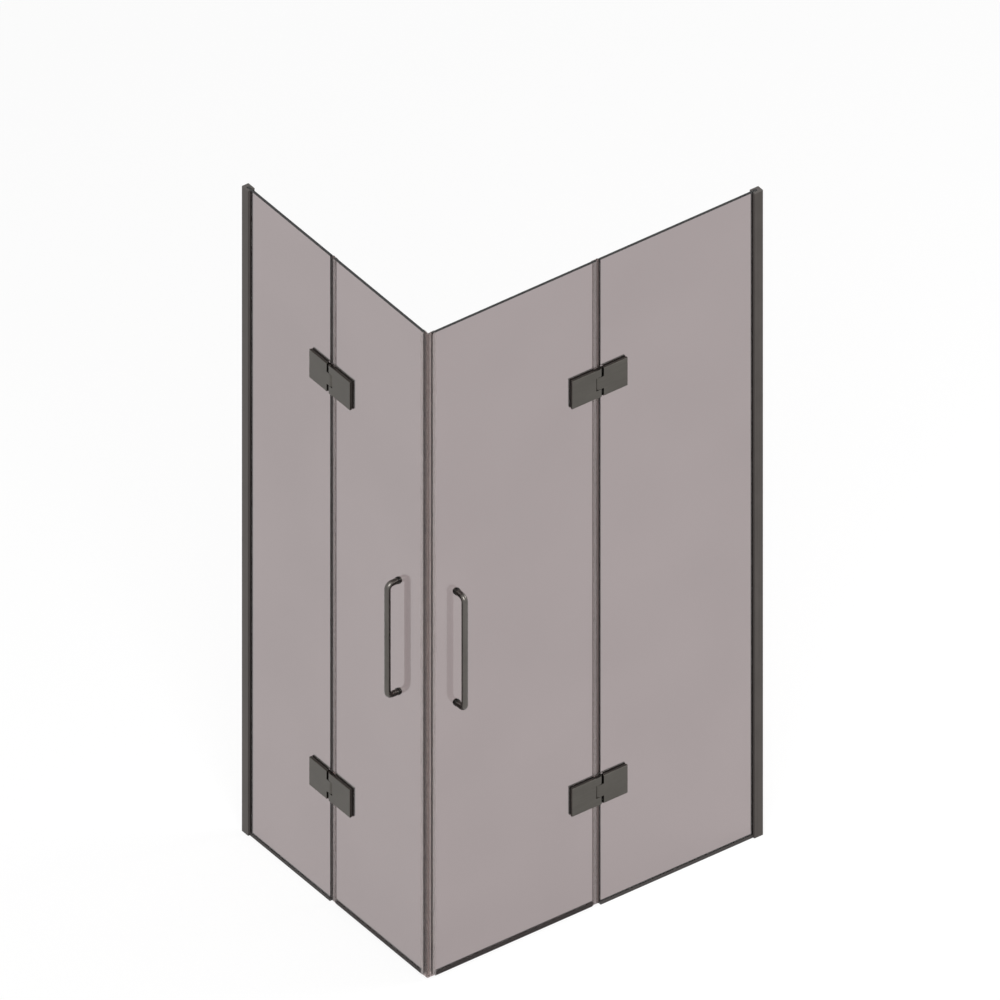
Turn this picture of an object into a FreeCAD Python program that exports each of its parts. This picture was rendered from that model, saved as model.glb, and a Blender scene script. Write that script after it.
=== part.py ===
import FreeCAD, Part
import os
import re
import Sketcher

# Corner shower enclosure in tinted glass: on each of two sides a fixed pane in a wall channel
# carries a door on two glass-to-glass hinges, and the doors close on each other at the corner.
# Millimetres, +Z up, origin on the floor below the middle of the whole enclosure.
# +X runs along the long side to its wall, +Y along the short side to its wall.

# Driving sizes
SIZES = {
    # The whole enclosure, to the outer glass faces and the walls
    "long_side": 1000,
    "short_side": 750,
    "total_height": 1950,
    "glass_thick": 8,
    "glass_arris": 0.8,
    # Outer glass corner to the hinge axis of each door
    "long_door": 512,
    "short_door": 391,
    "panel_gap": 11,
    "corner_setback": 12,
    "door_lift": 8,
    # Wall channel, its gaskets and its cap
    "channel_face": 25,
    "channel_across": 20,
    "channel_wall": 2,
    "channel_nose": 0.8,
    "glass_to_web": 8,
    "gasket_lip": 1.2,
    "gasket_lip_over": 1.4,
    "gasket_depth": 16,
    "cap_thick": 2,
    "cap_plug": 6,
    "cap_plug_gap": 1.5,
    "wall_screw_radius": 2.5,
    "wall_screw_end": 149,
    # Sill strip below the fixed glass
    "sill_high": 4,
    "sill_leg": 5,
    "sill_wall": 1.2,
    "sill_end_gap": 0.5,
    # Glass-to-glass hinge
    "hinge_leaf": 83,
    "hinge_high": 84,
    "hinge_from_top": 368,
    "hinge_from_floor": 350,
    "hinge_plate": 6,
    "hinge_gasket": 1,
    "leaf_clearance": 0.5,
    "hinge_chamfer": 1,
    "knuckle_high": 36,
    "pin_radius": 5,
    "pin_recess": 1,
    "pin_press": 0.02,
    "pin_running": 0.05,
    "bush_wall": 1.5,
    "bush_flange": 1,
    "bush_flange_over": 2,
    "bush_split": 4,
    "core_high": 56,
    "core_end": 45,
    "notch_clearance": 2,
    "notch_round": 8,
    "clamp_screw_radius": 3,
    "clamp_screw_fit": 0.1,
    "clamp_screw_head": 6,
    "clamp_screw_in": 28,
    "clamp_screw_pitch": 32,
    "clamp_screw_long": 14,
    "clamp_tap_past": 2,
    "clamp_key": 2,
    "clamp_key_deep": 2.4,
    # Bar handle, bolted through the glass
    "handle_radius": 8,
    "handle_centres": 336,
    "handle_bend": 14,
    "handle_standoff": 30,
    "handle_height": 968,
    "long_handle_inset": 90,
    "short_handle_inset": 122,
    "handle_hole": 6,
    "handle_washer_radius": 9.5,
    "handle_washer": 1,
    "handle_screw_radius": 3,
    "handle_screw_fit": 0.1,
    "handle_screw_in": 12,
    "handle_tap_past": 0.1,
    "handle_cap_radius": 8,
    "handle_cap_high": 5,
    "handle_cap_chamfer": 1.2,
    "handle_key": 2.5,
    "handle_key_deep": 3,
    "sleeve_fit": 0.1,
    # Push-on seals of the doors
    "seal_leg": 10,
    "seal_wall": 0.7,
    "seal_slack": 0.1,
    "seal_end_gap": 0.5,
    "bulb_clearance": 0.3,
    "mitre_gap": 0.5,
    "magnet_thick": 2.5,
    "magnet_wide": 5,
    "magnet_back": 1,
    "fin_floor_gap": 1.5,
    "fin_wall": 1,
    "drip_reach": 8,
    "drip_drop": 5,
}

# Places worked out from the driving sizes
WORKED_OUT = {
    "half_glass": "glass_thick / 2",
    "half_gap": "panel_gap / 2",
    "handle_reach": "handle_standoff + handle_radius",
    "corner_x": "(handle_reach - long_side) / 2 + half_glass",
    "corner_y": "(handle_reach - short_side) / 2 + half_glass",
    "half_channel": "channel_across / 2",
    "half_slot": "half_channel - channel_wall",
    "channel_high": "total_height - cap_thick",
    "wall_screw_pitch": "(channel_high - 2 * wall_screw_end) / 3",
    "long_wall": "long_side - half_glass",
    "short_wall": "short_side - half_glass",
    "long_axis": "long_door - half_glass",
    "short_axis": "short_door - half_glass",
    "plate_inner": "half_glass + hinge_gasket",
    "plate_outer": "plate_inner + hinge_plate",
    "leaf_start": "plate_outer + leaf_clearance",
    "upper_hinge": "total_height - hinge_from_top",
    "lower_hinge": "hinge_from_floor",
    "hinge_spacing": "upper_hinge - lower_hinge",
    "notch_deep": "core_end + notch_clearance",
    "notch_half": "core_high / 2 + notch_clearance",
    "relief_deep": "leaf_start + notch_clearance",
    "relief_half": "hinge_high / 2 + notch_clearance",
    "pin_bore": "pin_radius + pin_press",
    "bush_bore": "pin_radius + pin_running",
    "bush_outer": "bush_bore + bush_wall",
    "bush_seat": "bush_outer + pin_press",
    "door_bottom": "door_lift",
    "stub_seat": "half_glass + handle_washer",
    "bar_axis": "half_glass + handle_standoff",
    "handle_low": "handle_height - handle_centres / 2",
    "seal_inner": "half_glass + seal_slack",
    "seal_outer": "half_glass + seal_slack + seal_wall",
    "seal_base": "seal_slack + seal_wall",
    "bulb_radius": "half_gap - bulb_clearance",
    "mitre": "mitre_gap * sqrt(2) / 2",
}

NUMBER_WORDS = ("sqrt",)

# The two sides: the turn of a side's frame about Z, and the sign of the outward direction in it.
# In a side's frame x runs from the corner to the wall, and y is 0 in the middle of the glass.
SIDES = {
    "long": {"turn": 0, "out": -1},
    "short": {"turn": 90, "out": 1},
}

doc = FreeCAD.newDocument("corner_shower_enclosure")
sheet = doc.addObject("Spreadsheet::Sheet", "Sizes")
subparts = []


def fill_sheet():
    for row, (name, value) in enumerate(SIZES.items(), start=1):
        sheet.set(f"A{row}", name)
        sheet.set(f"B{row}", str(value))
        sheet.setAlias(f"B{row}", name)
    doc.recompute()


def bound(text):
    """A sheet expression from plain words: a size becomes its cell, a worked-out place its formula."""
    def word(match):
        name = match.group(0)
        if name in NUMBER_WORDS:
            return name
        if name in WORKED_OUT:
            return "(" + bound(WORKED_OUT[name]) + ")"
        return "Sizes." + name
    return re.sub(r"[a-z][a-z_]*", word, str(text))


def number(text):
    """The value that an expression has now, for the first drawing of a sketch."""
    value = sheet.evalExpression(bound(text))
    return float(getattr(value, "Value", value))


def bind(thing, path, text):
    thing.setExpression(path, bound(text))


# Bodies, sketches and features

def origin_feature(body, role):
    return next(f for f in body.Origin.OriginFeatures if f.Role == role)


def new_body(side, label, x="0", y="0", z="0"):
    """A body in its side's frame, with its own origin at x, y (outward) and z there."""
    body = doc.addObject("PartDesign::Body", f"{side}_{label}")
    body.Label = f"{side}_{label}"
    turn = SIDES[side]["turn"]
    out = SIDES[side]["out"]
    body.Placement = FreeCAD.Placement(FreeCAD.Vector(), FreeCAD.Rotation(FreeCAD.Vector(0, 0, 1), turn))
    if turn == 0:
        bind(body, "Placement.Base.x", f"corner_x + {x}")
        bind(body, "Placement.Base.y", f"corner_y + {out} * ({y})")
    else:
        bind(body, "Placement.Base.x", f"corner_x - {out} * ({y})")
        bind(body, "Placement.Base.y", f"corner_y + {x}")
    bind(body, "Placement.Base.z", z)
    subparts.append(body)
    return body


def new_sketch(body, name, plane, offset="0"):
    sketch = body.newObject("Sketcher::SketchObject", f"{body.Name}_{name}")
    sketch.AttachmentSupport = [(origin_feature(body, plane), "")]
    sketch.MapMode = "FlatFace"
    bind(sketch, "AttachmentOffset.Base.z", offset)
    return sketch


def fix_point(sketch, edge, end, x, y):
    """Ties one end of an edge to a place given by two expressions."""
    for kind, text in (("DistanceX", x), ("DistanceY", y)):
        index = sketch.addConstraint(Sketcher.Constraint(kind, -1, 1, edge, end, number(text)))
        bind(sketch, f"Constraints[{index}]", text)


def add_polygon(sketch, points):
    """A closed outline of straight lines through the given places."""
    first = sketch.GeometryCount
    places = [FreeCAD.Vector(number(x), number(y), 0) for x, y in points]
    count = len(points)
    for i in range(count):
        sketch.addGeometry(Part.LineSegment(places[i], places[(i + 1) % count]), False)
    for i in range(count):
        sketch.addConstraint(Sketcher.Constraint("Coincident", first + i, 2, first + (i + 1) % count, 1))
    for i, (x, y) in enumerate(points):
        fix_point(sketch, first + i, 1, x, y)


def add_rectangle(sketch, x_low, x_high, y_low, y_high):
    add_polygon(sketch, [(x_low, y_low), (x_high, y_low), (x_high, y_high), (x_low, y_high)])


def add_circle(sketch, x, y, radius):
    centre = FreeCAD.Vector(number(x), number(y), 0)
    edge = sketch.addGeometry(Part.Circle(centre, FreeCAD.Vector(0, 0, 1), number(radius)), False)
    index = sketch.addConstraint(Sketcher.Constraint("Radius", edge, number(radius)))
    bind(sketch, f"Constraints[{index}]", radius)
    fix_point(sketch, edge, 3, x, y)


def outward(side, points):
    """Plan points given as x and the distance outward, in the sketch's own x and y."""
    out = SIDES[side]["out"]
    return [(x, f"{out} * ({v})") for x, v in points]


def box_points(x_low, x_high, v_low, v_high):
    return [(x_low, v_low), (x_high, v_low), (x_high, v_high), (x_low, v_high)]


def pad(body, sketch, length, symmetric=False, reverse=False):
    feature = body.newObject("PartDesign::Pad", sketch.Name + "_pad")
    feature.Profile = sketch
    bind(feature, "Length", length)
    feature.SideType = "Symmetric" if symmetric else "One side"
    feature.Reversed = reverse
    doc.recompute()
    return feature


def pocket(body, sketch, length=None):
    """Cuts to both sides of the sketch by half of length, or right through, and has to take material away."""
    before = body.Shape.Volume
    feature = body.newObject("PartDesign::Pocket", sketch.Name + "_cut")
    feature.Profile = sketch
    feature.SideType = "Symmetric"
    if length is None:
        feature.Type = "ThroughAll"
    else:
        bind(feature, "Length", length)
    doc.recompute()
    if not body.Shape.Volume < before:
        raise RuntimeError(f"{feature.Name} cuts nothing")
    return feature


def revolve(body, sketch):
    feature = body.newObject("PartDesign::Revolution", sketch.Name + "_turned")
    feature.Profile = sketch
    feature.ReferenceAxis = (sketch, ["V_Axis"])
    feature.Angle = 360
    doc.recompute()
    return feature


def dress(body, kind, size, wanted):
    """A fillet or chamfer on the edges of the body's tip that wanted picks."""
    base = body.Tip
    names = [f"Edge{i}" for i, edge in enumerate(base.Shape.Edges, start=1) if wanted(edge)]
    if not names:
        raise RuntimeError(f"{body.Name} has no edge for its {kind}")
    feature = body.newObject(f"PartDesign::{kind}", f"{body.Name}_{kind}")
    feature.Base = (base, names)
    bind(feature, "Radius" if kind == "Fillet" else "Size", size)
    doc.recompute()
    return feature


def repeat_up(body, spacing):
    """A second copy of the whole body, higher by spacing."""
    pattern = body.newObject("PartDesign::LinearPattern", body.Name + "_pair")
    pattern.TransformMode = "Whole shape"
    pattern.Direction = (origin_feature(body, "Z_Axis"), [""])
    bind(pattern, "Length", spacing)
    pattern.Occurrences = 2
    body.Tip = pattern
    doc.recompute()
    return pattern


def mirror(body, plane):
    """A second copy of the whole body, mirrored in one of its own planes."""
    feature = body.newObject("PartDesign::Mirrored", f"{body.Name}_mirrored_{plane[:2]}")
    feature.TransformMode = "Whole shape"
    feature.MirrorPlane = (origin_feature(body, plane), [""])
    body.Tip = feature
    doc.recompute()
    return feature


def near(value, text):
    return abs(value - number(text)) < 1e-4


def lies_at(edge, axis, text):
    """Whether an edge lies in the plane where the named axis has the given value."""
    low = getattr(edge.BoundBox, axis + "Min")
    high = getattr(edge.BoundBox, axis + "Max")
    return near(low, text) and near(high, text)


# Wall channel and what sits in it

def make_wall_channel(side):
    body = new_body(side, "wall_channel", x=f"{side}_wall")
    plan = new_sketch(body, "plan", "XY_Plane")
    add_polygon(plan, [
        ("0", "-half_channel"), ("0", "half_channel"),
        ("-channel_face", "half_channel"), ("-channel_face", "half_slot"),
        ("-channel_wall", "half_slot"), ("-channel_wall", "-half_slot"),
        ("-channel_face", "-half_slot"), ("-channel_face", "-half_channel"),
    ])
    pad(body, plan, "channel_high")

    def is_nose(edge):
        upright = edge.BoundBox.ZLength > number("channel_high") / 2
        at_side = near(abs(edge.BoundBox.YMin), "half_channel")
        return upright and at_side and lies_at(edge, "X", "-channel_face")
    dress(body, "Fillet", "channel_nose", is_nose)
    holes = new_sketch(body, "screw_holes", "YZ_Plane")
    for step in range(4):
        add_circle(holes, "0", f"wall_screw_end + {step} * wall_screw_pitch", "wall_screw_radius")
    pocket(body, holes)


def make_channel_gaskets(side):
    """A strip each side of the glass, with a lip that turns over the end of the channel's wall."""
    body = new_body(side, "channel_gaskets", x=f"{side}_wall - channel_face")
    plan = new_sketch(body, "plan", "XY_Plane")
    lip_edge = "half_slot + gasket_lip_over"
    add_polygon(plan, [
        ("-gasket_lip", "half_glass"), ("gasket_depth", "half_glass"),
        ("gasket_depth", "half_slot"), ("0", "half_slot"),
        ("0", lip_edge), ("-gasket_lip / 2", lip_edge),
    ])
    pad(body, plan, "channel_high")
    mirror(body, "XZ_Plane")


def make_channel_cap(side):
    """Closes the channel's top, slotted for the glass, with a plug behind the glass edge."""
    body = new_body(side, "channel_cap", x=f"{side}_wall", z="channel_high")
    plan = new_sketch(body, "plan", "XY_Plane")
    glass_end = "-channel_wall - glass_to_web"
    add_polygon(plan, [
        ("0", "-half_channel"), ("0", "half_channel"),
        ("-channel_face", "half_channel"), ("-channel_face", "half_glass"),
        (glass_end, "half_glass"), (glass_end, "-half_glass"),
        ("-channel_face", "-half_glass"), ("-channel_face", "-half_channel"),
    ])
    pad(body, plan, "cap_thick")
    plug = new_sketch(body, "plug", "XY_Plane")
    add_rectangle(plug, glass_end + " + cap_plug_gap", "-channel_wall", "-half_glass", "half_glass")
    pad(body, plug, "cap_plug", reverse=True)

    def is_top_outline(edge):
        at_end = lies_at(edge, "X", "-channel_face") and abs(edge.BoundBox.YMax) > number("half_glass")
        at_side = lies_at(edge, "Y", "half_channel") or lies_at(edge, "Y", "-half_channel")
        return lies_at(edge, "Z", "cap_thick") and (at_end or at_side)
    dress(body, "Fillet", "channel_nose", is_top_outline)


def notch_points(edge_x, way, hinge):
    """One hinge's cut-out in a glass edge, from below upwards: a shallow relief for the knuckles
    and a deeper notch for the hinge's core. way is +1 where the glass lies at larger x."""
    relief = f"{way} * relief_deep"
    deep = f"{way} * notch_deep"
    return [
        (edge_x, f"{hinge} - relief_half"), (relief, f"{hinge} - relief_half"),
        (relief, f"{hinge} - notch_half"), (deep, f"{hinge} - notch_half"),
        (deep, f"{hinge} + notch_half"), (relief, f"{hinge} + notch_half"),
        (relief, f"{hinge} + relief_half"), (edge_x, f"{hinge} + relief_half"),
    ]


def round_notches(body, way):
    def is_notch_corner(edge):
        across = edge.BoundBox.YLength > number("half_glass")
        return across and lies_at(edge, "X", f"{way} * notch_deep")
    dress(body, "Fillet", "notch_round", is_notch_corner)


def grind_arris(body):
    """Takes the sharp edge off both faces of a pane, along its whole outline and its holes."""
    dress(body, "Chamfer", "glass_arris",
          lambda edge: lies_at(edge, "Y", "half_glass") or lies_at(edge, "Y", "-half_glass"))


def make_fixed_glass(side):
    """Origin on the hinge axis, at floor level."""
    body = new_body(side, "fixed_glass", x=f"{side}_axis")
    outline = new_sketch(body, "outline", "XZ_Plane")
    wall_end = f"{side}_wall - {side}_axis - channel_wall - glass_to_web"
    points = [(wall_end, "total_height"), (wall_end, "sill_high"), ("half_gap", "sill_high")]
    for hinge in ("lower_hinge", "upper_hinge"):
        points += notch_points("half_gap", "1", hinge)
    points.append(("half_gap", "total_height"))
    add_polygon(outline, points)
    pad(body, outline, "glass_thick", symmetric=True)
    round_notches(body, "1")
    grind_arris(body)


def make_sill_strip(side):
    """The rubber strip that the fixed pane stands in: a U up to the channel, and a flat tongue inside it."""
    body = new_body(side, "sill_strip", x=f"{side}_axis")
    near_end = "half_gap + sill_end_gap"
    mouth = f"{side}_wall - {side}_axis - channel_face - gasket_lip - sill_end_gap"
    far_end = f"{side}_wall - {side}_axis - channel_wall - glass_to_web"
    outer = "half_glass + sill_wall"
    base = new_sketch(body, "base", "XY_Plane")
    add_polygon(base, [
        (near_end, f"-({outer})"), (mouth, f"-({outer})"), (mouth, "-half_glass"), (far_end, "-half_glass"),
        (far_end, "half_glass"), (mouth, "half_glass"), (mouth, outer), (near_end, outer),
    ])
    pad(body, base, "sill_high")
    legs = new_sketch(body, "legs", "XY_Plane", offset="sill_high")
    add_rectangle(legs, near_end, mouth, "half_glass", outer)
    add_rectangle(legs, near_end, mouth, f"-({outer})", "-half_glass")
    pad(body, legs, "sill_leg")


def make_door_glass(side):
    """Origin on the hinge axis, at floor level: the door lies at negative x."""
    body = new_body(side, "door_glass", x=f"{side}_axis")
    outline = new_sketch(body, "outline", "XZ_Plane")
    free_edge = f"corner_setback - {side}_axis"
    points = [(free_edge, "total_height"), (free_edge, "door_bottom"), ("-half_gap", "door_bottom")]
    for hinge in ("lower_hinge", "upper_hinge"):
        points += notch_points("-half_gap", "-1", hinge)
    points.append(("-half_gap", "total_height"))
    add_polygon(outline, points)
    pad(body, outline, "glass_thick", symmetric=True)
    round_notches(body, "-1")
    holes = new_sketch(body, "handle_holes", "XZ_Plane")
    for height in ("handle_low", "handle_low + handle_centres"):
        add_circle(holes, f"{side}_handle_inset - {side}_axis - half_glass", height, "handle_hole")
    pocket(body, holes)
    grind_arris(body)


# Glass-to-glass hinge. The fixed leaf lies at positive x from the axis, the door leaf at negative x.

def leaf_block(side, body, name, way, x_end, v_low, v_high, height):
    """One block of a leaf, from beside the knuckles to x_end, centred on the hinge's middle."""
    plan = new_sketch(body, name, "XY_Plane")
    corners = box_points(f"{way} * leaf_start", f"{way} * {x_end}", v_low, v_high)
    add_polygon(plan, outward(side, corners))
    return pad(body, plan, height, symmetric=True)


def clamp_screw_circles(sketch, way, radius):
    for height in ("-clamp_screw_pitch / 2", "clamp_screw_pitch / 2"):
        add_circle(sketch, f"{way} * clamp_screw_in", height, radius)


def make_hinge_half(side, level, half):
    """Outer plate, core through the glass notch and knuckles in one piece: the fixed half has the middle
    knuckle with the bush seat, the door half the upper and lower ones with the pin's bore."""
    way = "1" if half == "fixed" else "-1"
    out = SIDES[side]["out"]
    body = new_body(side, f"{level}_hinge_{half}_body", x=f"{side}_axis", z=f"{level}_hinge")
    leaf_block(side, body, "plate", way, "hinge_leaf", "plate_inner", "plate_outer", "hinge_high")

    def is_front_edge(edge):
        at_start = lies_at(edge, "X", f"{way} * leaf_start")
        return lies_at(edge, "Y", f"{out} * plate_outer") and not at_start
    dress(body, "Chamfer", "hinge_chamfer", is_front_edge)
    leaf_block(side, body, "core", way, "core_end", "-plate_inner", "plate_inner", "core_high")

    def is_core_corner(edge):
        return edge.BoundBox.YLength > number("half_glass") and lies_at(edge, "X", f"{way} * core_end")
    core_round = dress(body, "Fillet", "notch_round - notch_clearance", is_core_corner)
    core_round.Label = f"{body.Name}_core_round"
    link = new_sketch(body, "link", "XY_Plane")
    add_polygon(link, box_points("0", f"{way} * leaf_start", "-plate_outer", "plate_outer"))
    barrel = new_sketch(body, "barrel", "XY_Plane")
    add_circle(barrel, "0", "0", "plate_outer")
    if half == "fixed":
        pad(body, link, "knuckle_high", symmetric=True)
        pad(body, barrel, "knuckle_high", symmetric=True)
        bore_radius = "bush_seat"
    else:
        pad(body, link, "hinge_high", symmetric=True)
        pad(body, barrel, "hinge_high", symmetric=True)
        gap = new_sketch(body, "knuckle_gap", "XY_Plane")
        add_polygon(gap, box_points("-leaf_start", "leaf_start", "-leaf_start", "leaf_start"))
        pocket(body, gap, "knuckle_high + 2 * bush_flange")
        bore_radius = "pin_bore"
    bore = new_sketch(body, "bore", "XY_Plane")
    add_circle(bore, "0", "0", bore_radius)
    pocket(body, bore)
    taps = new_sketch(body, "taps", "XZ_Plane", offset=f"{out} * plate_inner")
    clamp_screw_circles(taps, way, "clamp_screw_radius + clamp_screw_fit")
    pocket(body, taps, "2 * (clamp_screw_long - hinge_plate + clamp_tap_past)")


def make_hinge_clamps(side, half):
    """The inside plates, countersunk for their screws."""
    way = "1" if half == "fixed" else "-1"
    out = SIDES[side]["out"]
    body = new_body(side, f"hinge_{half}_clamps", x=f"{side}_axis", z="lower_hinge")
    leaf_block(side, body, "plate", way, "hinge_leaf", "-plate_outer", "-plate_inner", "hinge_high")

    def is_back_edge(edge):
        at_start = lies_at(edge, "X", f"{way} * leaf_start")
        return lies_at(edge, "Y", f"{-out} * plate_outer") and not at_start
    dress(body, "Chamfer", "hinge_chamfer", is_back_edge)
    holes = new_sketch(body, "holes", "XZ_Plane")
    clamp_screw_circles(holes, way, "clamp_screw_radius + clamp_screw_fit")
    pocket(body, holes)

    def is_hole_rim(edge):
        return edge.Curve.TypeId == "Part::GeomCircle" and lies_at(edge, "Y", f"{-out} * plate_outer")
    sink = dress(body, "Chamfer", "clamp_screw_head - clamp_screw_radius", is_hole_rim)
    sink.Label = f"{body.Name}_countersinks"
    repeat_up(body, "hinge_spacing")


def make_hinge_gaskets(side, half):
    """Sheets between the plates and the glass, cut out round the notch."""
    way = "1" if half == "fixed" else "-1"
    body = new_body(side, f"hinge_{half}_gaskets", x=f"{side}_axis", z="lower_hinge")
    outline = new_sketch(body, "outline", "XZ_Plane", offset="half_glass")
    start = f"{way} * relief_deep"
    leaf = f"{way} * hinge_leaf"
    deep = f"{way} * notch_deep"
    add_polygon(outline, [
        (start, "-hinge_high / 2"), (leaf, "-hinge_high / 2"), (leaf, "hinge_high / 2"),
        (start, "hinge_high / 2"), (start, "notch_half"), (deep, "notch_half"),
        (deep, "-notch_half"), (start, "-notch_half"),
    ])
    pad(body, outline, "hinge_gasket")
    mirror(body, "XZ_Plane")
    repeat_up(body, "hinge_spacing")


def add_hexagon(sketch, x, y, across):
    """A hexagonal key recess, across its corners by twice the given radius."""
    side_height = f"{across} * sqrt(3) / 2"
    add_polygon(sketch, [
        (f"{x} + {across}", y), (f"{x} + {across} / 2", f"{y} + {side_height}"),
        (f"{x} - {across} / 2", f"{y} + {side_height}"), (f"{x} - {across}", y),
        (f"{x} - {across} / 2", f"{y} - {side_height}"), (f"{x} + {across} / 2", f"{y} - {side_height}"),
    ])


def make_hinge_screws(side, half):
    """Countersunk screws from the clamp into the core, drawn on their own axis."""
    way = "1" if half == "fixed" else "-1"
    out = SIDES[side]["out"]
    body = new_body(side, f"hinge_{half}_screws", x=f"{side}_axis + {way} * clamp_screw_in",
                    y="-plate_outer", z="lower_hinge - clamp_screw_pitch / 2")
    half_plan = new_sketch(body, "half_plan", "XY_Plane")
    add_polygon(half_plan, outward(side, [
        ("0", "0"), ("clamp_screw_head", "0"),
        ("clamp_screw_radius", "clamp_screw_head - clamp_screw_radius"),
        ("clamp_screw_radius", "clamp_screw_long"), ("0", "clamp_screw_long"),
    ]))
    revolve(body, half_plan)
    key = new_sketch(body, "key", "XZ_Plane")
    add_hexagon(key, "0", "0", "clamp_key")
    pocket(body, key, "2 * clamp_key_deep")
    repeat_up(body, "clamp_screw_pitch")
    again = repeat_up(body, "hinge_spacing")
    again.Label = f"{body.Name}_both_hinges"


def make_hinge_bushes(side):
    """Flanged bushes from above and below in the fixed knuckle, a little apart in the middle."""
    body = new_body(side, "hinge_bushes", x=f"{side}_axis", z="lower_hinge")
    wall = new_sketch(body, "wall", "XZ_Plane")
    add_polygon(wall, [
        ("bush_bore", "bush_split / 2"), ("bush_outer", "bush_split / 2"),
        ("bush_outer", "knuckle_high / 2"), ("bush_outer + bush_flange_over", "knuckle_high / 2"),
        ("bush_outer + bush_flange_over", "knuckle_high / 2 + bush_flange"),
        ("bush_bore", "knuckle_high / 2 + bush_flange"),
    ])
    revolve(body, wall)
    mirror(body, "XY_Plane")
    repeat_up(body, "hinge_spacing")


def make_hinge_pins(side):
    body = new_body(side, "hinge_pins", x=f"{side}_axis", z="lower_hinge")
    section = new_sketch(body, "section", "XY_Plane")
    add_circle(section, "0", "0", "pin_radius")
    pad(body, section, "hinge_high - 2 * pin_recess", symmetric=True)
    dress(body, "Chamfer", "hinge_chamfer / 2", lambda edge: edge.BoundBox.ZLength < 1e-4)
    repeat_up(body, "hinge_spacing")


# Bar handle and what bolts it through the glass

def handle_place(side):
    return f"{side}_handle_inset - half_glass"


def make_handle(side):
    """A round bar bent at both ends, drawn from its middle height."""
    out = SIDES[side]["out"]
    body = new_body(side, "handle", x=handle_place(side), z="handle_height")
    path = new_sketch(body, "path", "YZ_Plane")
    half = "handle_centres / 2"
    bend_start = f"{out} * (bar_axis - handle_bend)"
    bend_height = f"{half} - handle_bend"
    seat = f"{out} * stub_seat"
    bar = f"{out} * bar_axis"

    def place(y, z):
        return FreeCAD.Vector(number(y), number(z), 0)

    def bend(sign):
        """The arc at the lower (-1) or upper (+1) end, from its stub to the bar, drawn anticlockwise."""
        middle = "handle_bend * sqrt(2) / 2"
        stub_end = place(bend_start, f"{sign} * {half}")
        through = place(f"{bend_start} + {out} * {middle}", f"{sign} * ({bend_height} + {middle})")
        bar_end = place(bar, f"{sign} * ({bend_height})")
        if sign * out < 0:
            return Part.Arc(stub_end, through, bar_end)
        return Part.Arc(bar_end, through, stub_end)
    path.addGeometry(Part.LineSegment(place(seat, f"-{half}"), place(bend_start, f"-{half}")), False)
    path.addGeometry(bend(-1), False)
    path.addGeometry(Part.LineSegment(place(bar, f"-({bend_height})"), place(bar, bend_height)), False)
    path.addGeometry(bend(1), False)
    path.addGeometry(Part.LineSegment(place(bend_start, half), place(seat, half)), False)
    join_path(path)
    fix_point(path, 0, 1, seat, f"-{half}")
    fix_point(path, 0, 2, bend_start, f"-{half}")
    fix_point(path, 2, 1, bar, f"-({bend_height})")
    fix_point(path, 2, 2, bar, bend_height)
    fix_point(path, 4, 1, bend_start, half)
    fix_point(path, 4, 2, seat, half)
    for edge in (1, 3):
        index = path.addConstraint(Sketcher.Constraint("Radius", edge, number("handle_bend")))
        bind(path, f"Constraints[{index}]", "handle_bend")
    section = new_sketch(body, "section", "XZ_Plane", offset=f"{-out} * stub_seat")
    add_circle(section, "0", f"-{half}", "handle_radius")
    pipe = body.newObject("PartDesign::AdditivePipe", body.Name + "_bar")
    pipe.Profile = section
    pipe.Spine = path
    doc.recompute()
    taps = new_sketch(body, "taps", "XZ_Plane")
    for height in (f"-{half}", half):
        add_circle(taps, "0", height, "handle_screw_radius + handle_screw_fit")
    pocket(body, taps, "2 * (stub_seat + handle_screw_in)")


def join_path(path):
    """Joins each edge of an open path to the next at whichever ends lie together."""
    for edge in range(path.GeometryCount - 1):
        ends = [(a, b) for a in (1, 2) for b in (1, 2)]
        gap = {pair: (path.getPoint(edge, pair[0]) - path.getPoint(edge + 1, pair[1])).Length for pair in ends}
        first, second = min(gap, key=gap.get)
        path.addConstraint(Sketcher.Constraint("Coincident", edge, first, edge + 1, second))


def make_handle_ring(side, label, v_low, inner, outer, thick, both_faces):
    """A pair of rings on the handle's two bolts, one pair on each face of the glass if both_faces."""
    out = SIDES[side]["out"]
    body = new_body(side, label, x=handle_place(side), z="handle_low")
    ring = new_sketch(body, "ring", "XZ_Plane", offset=f"{-out} * ({v_low})")
    add_circle(ring, "0", "0", outer)
    add_circle(ring, "0", "0", inner)
    pad(body, ring, thick, reverse=out > 0)
    if both_faces:
        mirror(body, "XZ_Plane")
    repeat_up(body, "handle_centres")


def make_handle_cap_screws(side):
    """Round-headed screws from inside the enclosure, through the glass into the handle's ends."""
    body = new_body(side, "handle_cap_screws", x=handle_place(side), y="-stub_seat", z="handle_low")
    half_plan = new_sketch(body, "half_plan", "XY_Plane")
    tip = "2 * stub_seat + handle_screw_in - handle_tap_past"
    add_polygon(half_plan, outward(side, [
        ("0", "-handle_cap_high"), ("handle_cap_radius", "-handle_cap_high"), ("handle_cap_radius", "0"),
        ("handle_screw_radius", "0"), ("handle_screw_radius", tip), ("0", tip),
    ]))
    revolve(body, half_plan)
    out = SIDES[side]["out"]
    dress(body, "Chamfer", "handle_cap_chamfer", lambda edge: lies_at(edge, "Y", f"{-out} * handle_cap_high"))
    key = new_sketch(body, "key", "XZ_Plane", offset=f"{out} * handle_cap_high")
    add_hexagon(key, "0", "0", "handle_key")
    pocket(body, key, "2 * handle_key_deep")
    repeat_up(body, "handle_centres")


# Push-on seals of the doors

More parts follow.
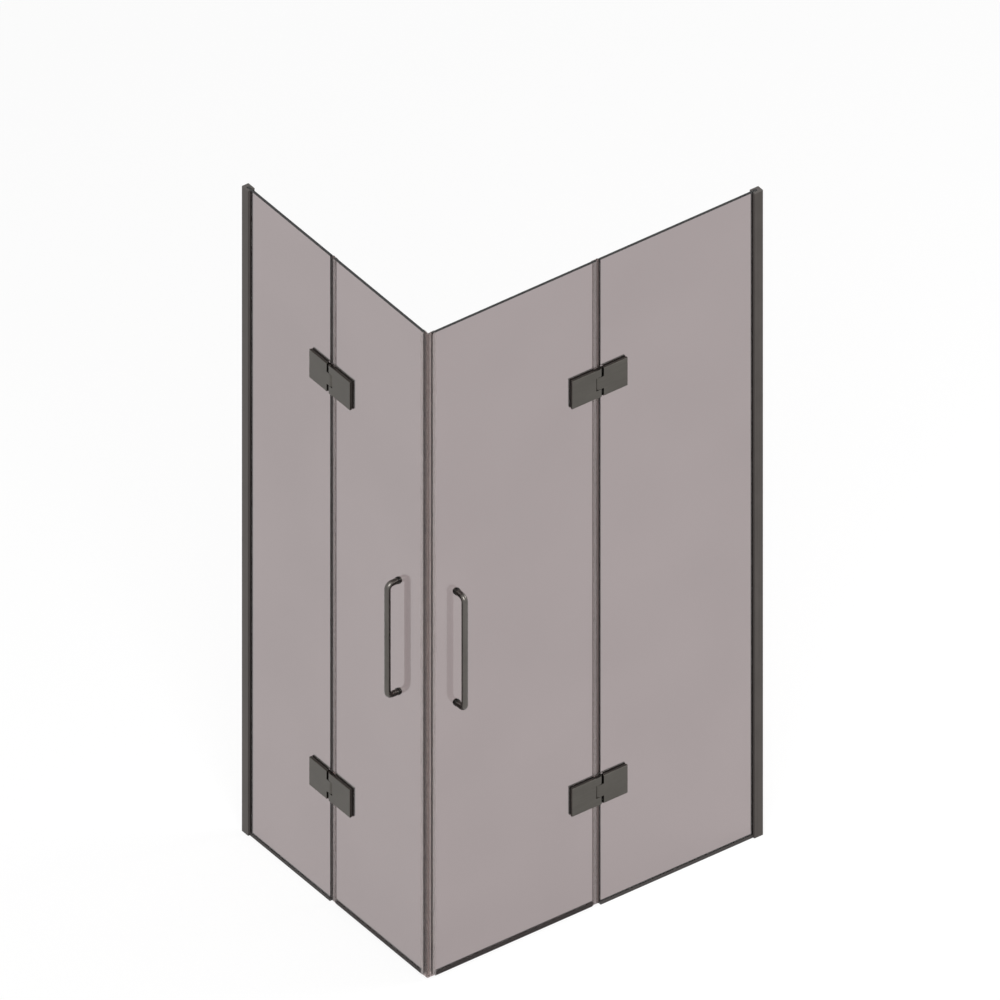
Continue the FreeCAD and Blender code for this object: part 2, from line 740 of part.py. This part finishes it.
def hinge_edge_runs():
    """Lower and upper ends of the seal's three lengths: below, between and above the hinges."""
    return [
        ("door_bottom", "lower_hinge - relief_half - seal_end_gap"),
        ("lower_hinge + relief_half + seal_end_gap", "upper_hinge - relief_half - seal_end_gap"),
        ("upper_hinge + relief_half + seal_end_gap", "total_height"),
    ]


def make_hinge_edge_clip(side):
    """The hard carrier of the hinge-edge seal, pushed over the door's edge."""
    body = new_body(side, "hinge_edge_clip", x=f"{side}_axis")
    inside = "-half_gap + seal_slack"
    web = "-half_gap + seal_base"
    legs_end = "-half_gap - seal_leg"
    for index, (low, high) in enumerate(hinge_edge_runs()):
        clip = new_sketch(body, f"clip_{index}", "XY_Plane", offset=low)
        add_polygon(clip, [
            (legs_end, "-seal_outer"), (web, "-seal_outer"), (web, "seal_outer"), (legs_end, "seal_outer"),
            (legs_end, "seal_inner"), (inside, "seal_inner"),
            (inside, "-seal_inner"), (legs_end, "-seal_inner"),
        ])
        pad(body, clip, f"{high} - ({low})")


def make_hinge_edge_bulb(side):
    """The soft bead bonded to the carrier: round about the hinge axis, flat where it joins the carrier."""
    body = new_body(side, "hinge_edge_bulb", x=f"{side}_axis")
    for index, (low, high) in enumerate(hinge_edge_runs()):
        bead = new_sketch(body, f"bead_{index}", "XY_Plane", offset=low)
        add_circle(bead, "0", "0", "bulb_radius")
        pad(body, bead, f"{high} - ({low})")
    flat = new_sketch(body, "flat", "XY_Plane")
    add_rectangle(flat, "-panel_gap", "-half_gap + seal_base", "-panel_gap", "panel_gap")
    pocket(body, flat)


def make_magnet_seal(side):
    """A clip over the door's free edge with a mitred head, hollow for its magnet strip."""
    body = new_body(side, "magnet_seal", z="door_bottom")
    plan = new_sketch(body, "plan", "XY_Plane")
    inside = "corner_setback - seal_slack"
    web = "corner_setback - seal_base"
    legs_end = "corner_setback + seal_leg"
    add_polygon(plan, outward(side, [
        (legs_end, "seal_inner"), (inside, "seal_inner"), (inside, "-seal_inner"), (legs_end, "-seal_inner"),
        (legs_end, "-seal_outer"), (web, "-seal_outer"), (web, "-half_glass"),
        ("half_glass + mitre", "-half_glass"), ("-half_glass + mitre", "half_glass"),
        (web, "half_glass"), (web, "seal_outer"), (legs_end, "seal_outer"),
    ]))
    pad(body, plan, "total_height - door_bottom")
    slot = new_sketch(body, "magnet_slot", "XY_Plane")
    add_polygon(slot, outward(side, magnet_points()))
    pocket(body, slot)


def magnet_points():
    """The magnet strip's plan: a bar along the mitre, magnet_back behind it and midway between the faces."""
    middle = "mitre + (2 * magnet_back + magnet_thick) * sqrt(2) / 2"
    half_wide = "magnet_wide * sqrt(2) / 4"
    half_thick = "magnet_thick * sqrt(2) / 4"
    return [
        (f"{middle} - {half_wide} - {half_thick}", f"{half_wide} - {half_thick}"),
        (f"{middle} + {half_wide} - {half_thick}", f"-{half_wide} - {half_thick}"),
        (f"{middle} + {half_wide} + {half_thick}", f"-{half_wide} + {half_thick}"),
        (f"{middle} - {half_wide} + {half_thick}", f"{half_wide} + {half_thick}"),
    ]


def make_magnet_strip(side):
    body = new_body(side, "magnet_strip", z="door_bottom")
    plan = new_sketch(body, "plan", "XY_Plane")
    add_polygon(plan, outward(side, magnet_points()))
    pad(body, plan, "total_height - door_bottom")


def make_bottom_seal(side):
    """A clip on the door's lower edge with a fin to the floor and a wing that throws drips inward."""
    body = new_body(side, "bottom_seal", z="door_bottom")
    start = "corner_setback + seal_leg + seal_end_gap"
    end = f"{side}_axis - half_gap - seal_leg - seal_end_gap"
    profile = new_sketch(body, "profile", "YZ_Plane", offset=start)
    fin_tip = "fin_floor_gap - door_bottom"
    wing_tip = "-seal_outer - drip_reach"
    wing_low = "-seal_base - drip_drop"
    add_polygon(profile, [(f"{SIDES[side]['out']} * ({v})", z) for v, z in [
        ("seal_inner", "seal_leg"), ("seal_outer", "seal_leg"), ("seal_outer", "-seal_base"),
        ("fin_wall / 2", "-seal_base"), ("fin_wall / 2", fin_tip), ("-fin_wall / 2", fin_tip),
        ("-fin_wall / 2", "-seal_base"), ("-half_glass", "-seal_base"), (wing_tip, wing_low),
        (wing_tip, wing_low + " + seal_wall"), ("-seal_outer", "0"),
        ("-seal_outer", "seal_leg"), ("-seal_inner", "seal_leg"),
        ("-seal_inner", "-seal_slack"), ("seal_inner", "-seal_slack"),
    ]])
    pad(body, profile, f"{end} - ({start})")


def make_side(side):
    make_wall_channel(side)
    make_channel_gaskets(side)
    make_channel_cap(side)
    make_fixed_glass(side)
    make_sill_strip(side)
    make_door_glass(side)
    for half in ("fixed", "door"):
        for level in ("upper", "lower"):
            make_hinge_half(side, level, half)
        make_hinge_clamps(side, half)
        make_hinge_gaskets(side, half)
        make_hinge_screws(side, half)
    make_hinge_bushes(side)
    make_hinge_pins(side)
    make_handle(side)
    make_handle_ring(side, "handle_washers", "half_glass", "handle_screw_radius + handle_screw_fit",
                     "handle_washer_radius", "handle_washer", True)
    make_handle_ring(side, "handle_sleeves", "-half_glass", "handle_screw_radius + handle_screw_fit",
                     "handle_hole - sleeve_fit", "glass_thick", False)
    make_handle_cap_screws(side)
    make_hinge_edge_clip(side)
    make_hinge_edge_bulb(side)
    make_magnet_seal(side)
    make_magnet_strip(side)
    make_bottom_seal(side)


def check_model():
    """Stops the build if any object failed or any sub-part's shape is empty or invalid."""
    for thing in doc.Objects:
        if "Invalid" in thing.State or "Error" in thing.State:
            raise RuntimeError(f"{thing.Name} failed: {thing.State}")
    for body in subparts:
        if body.Shape.isNull() or not body.Shape.isValid() or not body.Shape.Solids:
            raise RuntimeError(f"{body.Label} has no valid solid")


def write_steps():
    os.makedirs("parts", exist_ok=True)
    for body in subparts:
        body.Shape.exportStep(f"parts/{body.Label}.step")
        print(f"{body.Label}: {len(body.Shape.Solids)} solids, {body.Shape.Volume:.0f} mm3")


fill_sheet()
for side_name in SIDES:
    make_side(side_name)
doc.recompute()
check_model()
write_steps()
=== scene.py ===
import math

import bpy
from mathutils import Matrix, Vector


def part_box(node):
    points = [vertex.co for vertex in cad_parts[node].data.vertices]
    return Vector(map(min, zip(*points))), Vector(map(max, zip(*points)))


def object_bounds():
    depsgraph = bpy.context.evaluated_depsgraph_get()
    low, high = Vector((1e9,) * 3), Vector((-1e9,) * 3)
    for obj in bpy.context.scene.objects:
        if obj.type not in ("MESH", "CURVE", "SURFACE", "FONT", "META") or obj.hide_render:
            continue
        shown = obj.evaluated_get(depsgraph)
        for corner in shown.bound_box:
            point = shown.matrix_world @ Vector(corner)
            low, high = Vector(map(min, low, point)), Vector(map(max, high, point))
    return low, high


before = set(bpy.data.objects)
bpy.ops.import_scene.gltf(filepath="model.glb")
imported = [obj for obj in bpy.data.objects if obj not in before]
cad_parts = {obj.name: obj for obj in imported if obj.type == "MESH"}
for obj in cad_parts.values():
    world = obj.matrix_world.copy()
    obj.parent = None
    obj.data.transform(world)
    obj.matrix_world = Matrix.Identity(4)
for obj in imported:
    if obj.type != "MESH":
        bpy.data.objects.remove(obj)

# A corner shower enclosure: each CAD piece keeps its shape and gets its finish, on a white floor.
# Sizes are in metres unless the name says mm.
MM = 0.001

# The view: a parallel projection from the front left and above
VIEW_AZIMUTH = math.radians(-36.2)
VIEW_ELEVATION = math.radians(37.0)
VIEW_HEIGHT = 2.4148
VIEW_SHIFT_RIGHT = -0.0024
VIEW_SHIFT_UP = 0.0384
VIEW_DISTANCE = 8.0
VIEW_REACH = 100.0

# The room: how wide the floor is, how much it glows of itself, and how much light it gives back
FLOOR_SIZE = 40.0
FLOOR_GLOW = 0.85
FLOOR_SHADE = "#737373"
FLOOR_PAINT = "#DADADA"
WORLD_LIGHT = 0.5
WHITE = "#FFFFFF"

# How far the closing seals' heads reach from the upright where the two sides' middle planes meet
SEAL_HEAD = 0.0114

# Most of a noise lies between these two values, and its finer layers have this strength
NOISE_LOW = 0.3
NOISE_HIGH = 0.7
NOISE_FINE = 0.55

# Wiped clouds on metal: how long they are, and their share beside the lines
CLOUD_MM = 70
CLOUD_SHARE = 0.4

# Clear plastic: the least and most share of its haze, how rough that is, and how much of its gloss shows
HAZE_LEAST = 0.03
HAZE_MOST = 0.07
HAZE_ROUGH = 0.4
GLOSS_SHARE = 0.5


def as_lists(box):
    """A box's two corners as plain lists of numbers."""
    return [[float(value) for value in corner] for corner in box]


def middle(node, axis):
    """The middle of a node's box along one axis."""
    low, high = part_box(node)
    return (low[axis] + high[axis]) / 2


cad_box = as_lists(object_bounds())
glass_corner = (middle("short_fixed_glass", 0), middle("long_fixed_glass", 1), 0.0)
bpy.ops.object.select_all(action="DESELECT")
bpy.context.scene.view_settings.view_transform = "Standard"


# Materials

def linear(hex_colour):
    """A linear RGBA colour from an sRGB hex value."""
    channels = []
    for start in (1, 3, 5):
        value = int(hex_colour[start:start + 2], 16) / 255
        channels.append(value / 12.92 if value <= 0.04045 else ((value + 0.055) / 1.055) ** 2.4)
    return (*channels, 1.0)


def add_node(owner, kind, settings=(), **inputs):
    """Adds a node to a material or world and gives it its settings and inputs.

    An input is a number, a colour or the socket to link from. Its name is the socket's name with _ for a
    space, or in and the socket's number where two sockets share a name.
    """
    tree = owner.node_tree
    node = tree.nodes.new(kind)
    for name, value in dict(settings).items():
        setattr(node, name, value)
    for name, value in inputs.items():
        key = int(name[2:]) if name.startswith("in") else name.replace("_", " ")
        socket = node.inputs[key]
        if isinstance(value, bpy.types.NodeSocket):
            tree.links.new(value, socket)
        else:
            socket.default_value = value
    return node


def new_material(name):
    """A material with an empty node tree."""
    material = bpy.data.materials.new(name)
    material.use_nodes = True
    material.node_tree.nodes.clear()
    return material


def grain(material, sizes_mm, detail=3.0):
    """A noise on Object coordinates whose spots are as long as the three sizes."""
    place = add_node(material, "ShaderNodeTexCoord")
    scale = [1 / (size * MM) for size in sizes_mm]
    stretched = add_node(material, "ShaderNodeMapping", Vector=place.outputs["Object"], Scale=scale)
    noise = add_node(material, "ShaderNodeTexNoise", Vector=stretched.outputs["Vector"],
                     Scale=1.0, Detail=detail, Roughness=NOISE_FINE)
    return noise.outputs["Fac"]


def brushed_metal(name, dark, pale, grain_mm, smooth, rough, relief_mm):
    """A satin metal: fine lines and faint wiped clouds change its colour and gloss, lines its relief."""
    material = new_material(name)
    lines = grain(material, grain_mm)
    clouds = grain(material, (CLOUD_MM, CLOUD_MM, CLOUD_MM), detail=2.0)
    tone = add_node(material, "ShaderNodeMix", {"data_type": "FLOAT"}, Factor=CLOUD_SHARE,
                    in2=lines, in3=clouds)
    part = add_node(material, "ShaderNodeMapRange", Value=tone.outputs[0],
                    From_Min=NOISE_LOW, From_Max=NOISE_HIGH)
    colour = add_node(material, "ShaderNodeMix", {"data_type": "RGBA"}, Factor=part.outputs["Result"],
                      in6=linear(dark), in7=linear(pale))
    gloss = add_node(material, "ShaderNodeMapRange", Value=tone.outputs[0],
                     From_Min=NOISE_LOW, From_Max=NOISE_HIGH, To_Min=smooth, To_Max=rough)
    relief = add_node(material, "ShaderNodeBump", Height=lines, Distance=relief_mm * MM)
    metal = add_node(material, "ShaderNodeBsdfPrincipled", Metallic=1.0, Base_Color=colour.outputs[2],
                     Roughness=gloss.outputs["Result"], Normal=relief.outputs["Normal"])
    add_node(material, "ShaderNodeOutputMaterial", Surface=metal.outputs["BSDF"])
    return material


def moulded(name, dark, pale, grit_mm, smooth, rough, relief_mm):
    """A moulded or extruded plastic or rubber with a fine even grit."""
    material = new_material(name)
    grit = grain(material, (grit_mm, grit_mm, grit_mm))
    part = add_node(material, "ShaderNodeMapRange", Value=grit, From_Min=NOISE_LOW, From_Max=NOISE_HIGH)
    colour = add_node(material, "ShaderNodeMix", {"data_type": "RGBA"}, Factor=part.outputs["Result"],
                      in6=linear(dark), in7=linear(pale))
    gloss = add_node(material, "ShaderNodeMapRange", Value=grit,
                     From_Min=NOISE_LOW, From_Max=NOISE_HIGH, To_Min=smooth, To_Max=rough)
    relief = add_node(material, "ShaderNodeBump", Height=grit, Distance=relief_mm * MM)
    plastic = add_node(material, "ShaderNodeBsdfPrincipled", Base_Color=colour.outputs[2],
                       Roughness=gloss.outputs["Result"], Normal=relief.outputs["Normal"])
    add_node(material, "ShaderNodeOutputMaterial", Surface=plastic.outputs["BSDF"])
    return material


def dyed_glass(name, tint, density, dark, pale, index, wave_mm, wave_high_mm):
    """Glass dyed through its depth, so that it is dark where one looks along it, with a faint wave."""
    material = new_material(name)
    waves = grain(material, (wave_mm, wave_mm, wave_mm), detail=1.0)
    part = add_node(material, "ShaderNodeMapRange", Value=waves, From_Min=NOISE_LOW, From_Max=NOISE_HIGH)
    colour = add_node(material, "ShaderNodeMix", {"data_type": "RGBA"}, Factor=part.outputs["Result"],
                      in6=linear(dark), in7=linear(pale))
    relief = add_node(material, "ShaderNodeBump", Height=waves, Distance=wave_high_mm * MM)
    glass = add_node(material, "ShaderNodeBsdfPrincipled", Transmission_Weight=1.0, IOR=index,
                     Roughness=0.0, Base_Color=colour.outputs[2], Normal=relief.outputs["Normal"])
    # Lamps shine straight through the pane, so it throws a pale shadow
    clear = add_node(material, "ShaderNodeBsdfTransparent")
    path = add_node(material, "ShaderNodeLightPath")
    blend = add_node(material, "ShaderNodeMixShader", in0=path.outputs["Is Shadow Ray"],
                     in1=glass.outputs["BSDF"], in2=clear.outputs["BSDF"])
    dye = add_node(material, "ShaderNodeVolumeAbsorption", Color=linear(tint), Density=density)
    add_node(material, "ShaderNodeOutputMaterial", Surface=blend.outputs["Shader"],
             Volume=dye.outputs["Volume"])
    return material


def head_and_legs(material, head, legs):
    """A dye with one colour in the closing seals' heads, beside the corner's upright, and one elsewhere."""
    place = add_node(material, "ShaderNodeTexCoord")
    offset = add_node(material, "ShaderNodeVectorMath", {"operation": "SUBTRACT"},
                      in0=place.outputs["Object"], in1=glass_corner)
    away = add_node(material, "ShaderNodeVectorMath", {"operation": "ABSOLUTE"},
                    in0=offset.outputs["Vector"])
    axes = add_node(material, "ShaderNodeSeparateXYZ", Vector=away.outputs["Vector"])
    far = add_node(material, "ShaderNodeMath", {"operation": "MAXIMUM"},
                   in0=axes.outputs["X"], in1=axes.outputs["Y"])
    near = add_node(material, "ShaderNodeMath", {"operation": "LESS_THAN"},
                    in0=far.outputs["Value"], in1=SEAL_HEAD)
    dye = add_node(material, "ShaderNodeMix", {"data_type": "RGBA"}, Factor=near.outputs["Value"],
                   in6=linear(legs), in7=linear(head))
    return dye.outputs[2]


def clear_plastic(name, dye, haze, index, roughness, lines_mm, head=None):
    """A clear extrusion: what lies behind shows through its dye, under a faint haze, lines and thin gloss.

    The haze goes from one colour to the other. If a colour is given for the head, the dye differs there.
    """
    material = new_material(name)
    lines = grain(material, lines_mm)
    seen_through = head_and_legs(material, head, dye) if head else linear(dye)
    clear = add_node(material, "ShaderNodeBsdfTransparent", Color=seen_through)
    part = add_node(material, "ShaderNodeMapRange", Value=lines, From_Min=NOISE_LOW, From_Max=NOISE_HIGH)
    colour = add_node(material, "ShaderNodeMix", {"data_type": "RGBA"}, Factor=part.outputs["Result"],
                      in6=linear(haze[0]), in7=linear(haze[1]))
    cloud = add_node(material, "ShaderNodeBsdfPrincipled", Base_Color=colour.outputs[2],
                     Roughness=HAZE_ROUGH)
    amount = add_node(material, "ShaderNodeMapRange", Value=lines,
                      From_Min=NOISE_LOW, From_Max=NOISE_HIGH, To_Min=HAZE_LEAST, To_Max=HAZE_MOST)
    body = add_node(material, "ShaderNodeMixShader", in0=amount.outputs["Result"],
                    in1=clear.outputs["BSDF"], in2=cloud.outputs["BSDF"])
    gloss = add_node(material, "ShaderNodeBsdfGlossy", Roughness=roughness)
    mirror = add_node(material, "ShaderNodeFresnel", IOR=index)
    share = add_node(material, "ShaderNodeMath", {"operation": "MULTIPLY"},
                     in0=mirror.outputs["Fac"], in1=GLOSS_SHARE)
    blend = add_node(material, "ShaderNodeMixShader", in0=share.outputs["Value"],
                     in1=body.outputs["Shader"], in2=gloss.outputs["BSDF"])
    add_node(material, "ShaderNodeOutputMaterial", Surface=blend.outputs["Shader"])
    return material


FINISHES = {
    # Grey-bronze toughened float glass: dyed through, with a faint roller wave; its edges look much darker
    "tinted_glass": dyed_glass(
        "grey_bronze_float_glass", tint="#7F5353", density=97.0, dark="#DDD9D9", pale="#E1DDDD",
        index=1.52, wave_mm=300, wave_high_mm=0.02),
    # Graphite anodised aluminium extrusion: die lines run up the length; drawn coarser than real to show
    "channel_aluminium": brushed_metal(
        "graphite_anodised_aluminium", dark="#4D4946", pale="#5C5754", grain_mm=(1.6, 1.6, 500),
        smooth=0.34, rough=0.46, relief_mm=0.01),
    # Gunmetal coated stainless plate, brushed level; the lines are drawn coarser than real to show
    "hinge_steel": brushed_metal(
        "gunmetal_brushed_steel", dark="#514E4A", pale="#5F5C57", grain_mm=(70, 70, 1.2),
        smooth=0.3, rough=0.42, relief_mm=0.008),
    # Gunmetal coated stainless bar, brushed along its length; the lines are drawn coarser than real to show
    "handle_steel": brushed_metal(
        "gunmetal_brushed_bar", dark="#565350", pale="#66625E", grain_mm=(1.2, 1.2, 80),
        smooth=0.24, rough=0.34, relief_mm=0.006),
    # Dark plated steel screws, pins and washers: smoother, with a light tumbled finish
    "screw_steel": brushed_metal(
        "dark_plated_screw_steel", dark="#3E3C39", pale="#4E4B47", grain_mm=(2, 2, 2),
        smooth=0.22, rough=0.34, relief_mm=0.006),
    # Dark grey rubber strip and sheet: matt, with a fine moulded grit
    "gasket_rubber": moulded(
        "dark_gasket_rubber", dark="#332F2D", pale="#423D3B", grit_mm=1.5,
        smooth=0.62, rough=0.78, relief_mm=0.02),
    # Clear PVC extrusion: thin and glossy, with a smoked head at the corner and faint lines up its length
    "seal_pvc": clear_plastic(
        "smoked_pvc_extrusion", dye="#F7F3F2", head="#DDD4D2", haze=("#7A7170", "#8C8281"),
        index=1.53, roughness=0.12, lines_mm=(2, 2, 200)),
    # Soft smoked PVC bead with faint lines up its length
    "bulb_pvc": clear_plastic(
        "soft_smoked_pvc_bead", dye="#A69C9A", haze=("#4A4342", "#5A5251"),
        index=1.5, roughness=0.3, lines_mm=(1.5, 1.5, 120)),
    # Bonded ferrite strip: matt brown-black with a fine powder speckle
    "magnet_ferrite": moulded(
        "bonded_ferrite", dark="#1F1B19", pale="#322C29", grit_mm=0.8,
        smooth=0.55, rough=0.7, relief_mm=0.01),
    # Black nylon bushes: smooth moulded
    "nylon": moulded(
        "black_moulded_nylon", dark="#1D1C1B", pale="#282625", grit_mm=1.0,
        smooth=0.35, rough=0.48, relief_mm=0.01),
    # Moulded end cap: dark grey ABS with a spark texture, near the channel's colour
    "cap_plastic": moulded(
        "dark_grey_moulded_abs", dark="#4A4643", pale="#57524F", grit_mm=1.2,
        smooth=0.5, rough=0.62, relief_mm=0.02),
}

# The doors' bottom seals and hinge edge clips are of the same PVC as the closing seals, dyed darker
DARKER_SEALS = {
    "bottom_seal": clear_plastic(
        "dark_smoked_pvc_extrusion", dye="#9A908E", haze=("#3A3433", "#4A4342"),
        index=1.53, roughness=0.2, lines_mm=(2, 2, 200)),
    "hinge_edge_clip": clear_plastic(
        "pale_smoked_pvc_extrusion", dye="#EBE6E5", haze=("#7A7170", "#8C8281"),
        index=1.53, roughness=0.12, lines_mm=(2, 2, 200)),
}

for name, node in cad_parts.items():
    for place in node.material_slots:
        place.material = FINISHES[place.material.name.split(".")[0]]
        for ending, finish in DARKER_SEALS.items():
            if name.endswith(ending):
                place.material = finish


# Floor, world and lights

def seen_rays(owner):
    """Is 1 for what the eye sees straight on, in a gloss or through glass, and 0 for light on its way."""
    path = add_node(owner, "ShaderNodeLightPath")
    direct = add_node(owner, "ShaderNodeMath", {"operation": "MAXIMUM"},
                      in0=path.outputs["Is Camera Ray"], in1=path.outputs["Is Glossy Ray"])
    seen = add_node(owner, "ShaderNodeMath", {"operation": "MAXIMUM"},
                    in0=direct.outputs["Value"], in1=path.outputs["Is Transmission Ray"])
    return seen.outputs["Value"]


def white_floor():
    """A floor that is white to the eye and still takes the object's shadow."""
    bpy.ops.mesh.primitive_plane_add(size=FLOOR_SIZE, location=(0, 0, 0))
    floor = bpy.context.object
    floor.name = "floor"
    material = new_material("white_floor_paint")
    paint = add_node(material, "ShaderNodeBsdfDiffuse", Color=linear(FLOOR_PAINT))
    shade = add_node(material, "ShaderNodeBsdfDiffuse", Color=linear(FLOOR_SHADE))
    glow = add_node(material, "ShaderNodeEmission", Color=linear(WHITE), Strength=FLOOR_GLOW)
    bright = add_node(material, "ShaderNodeAddShader",
                      in0=shade.outputs["BSDF"], in1=glow.outputs["Emission"])
    blend = add_node(material, "ShaderNodeMixShader", in0=seen_rays(material),
                     in1=paint.outputs["BSDF"], in2=bright.outputs["Shader"])
    add_node(material, "ShaderNodeOutputMaterial", Surface=blend.outputs["Shader"])
    floor.data.materials.append(material)


def white_world():
    """A world that is white to the eye, in metal and through glass, and lights the object more softly."""
    world = bpy.data.worlds.new("white_room")
    world.use_nodes = True
    world.node_tree.nodes.clear()
    level = add_node(world, "ShaderNodeMapRange", Value=seen_rays(world), To_Min=WORLD_LIGHT, To_Max=1.0)
    glow = add_node(world, "ShaderNodeBackground", Color=linear(WHITE), Strength=level.outputs["Result"])
    add_node(world, "ShaderNodeOutputWorld", Surface=glow.outputs["Background"])
    bpy.context.scene.world = world


def soft_light(name, place, target, size, power):
    """A square area light that looks at a point."""
    bpy.ops.object.light_add(type="AREA", location=place)
    lamp = bpy.context.object
    lamp.name = name
    lamp.data.size = size
    lamp.data.energy = power
    lamp.rotation_euler = (Vector(target) - Vector(place)).to_track_quat("-Z", "Y").to_euler()


white_floor()
white_world()
soft_light("key_light", place=(-2.6, -3.2, 4.2), target=(0, 0, 0.9), size=2.4, power=170)
soft_light("side_light", place=(3.4, -1.6, 3.2), target=(0, 0, 1.0), size=2.0, power=70)


# Camera

def add_camera():
    """A camera with no perspective that looks at the object's middle, moved a little in its own plane."""
    low, high = (Vector(corner) for corner in cad_box)
    sine, cosine = math.sin(VIEW_AZIMUTH), math.cos(VIEW_AZIMUTH)
    level = math.cos(VIEW_ELEVATION)
    right = Vector((cosine, sine, 0))
    back = Vector((sine * level, -cosine * level, math.sin(VIEW_ELEVATION)))
    up = back.cross(right)
    target = (low + high) / 2 + right * VIEW_SHIFT_RIGHT + up * VIEW_SHIFT_UP
    bpy.ops.object.camera_add(location=target + back * VIEW_DISTANCE,
                              rotation=(math.pi / 2 - VIEW_ELEVATION, 0, VIEW_AZIMUTH))
    camera = bpy.context.object
    camera.data.type = "ORTHO"
    camera.data.ortho_scale = VIEW_HEIGHT
    camera.data.clip_end = VIEW_REACH
    bpy.context.scene.camera = camera


add_camera()
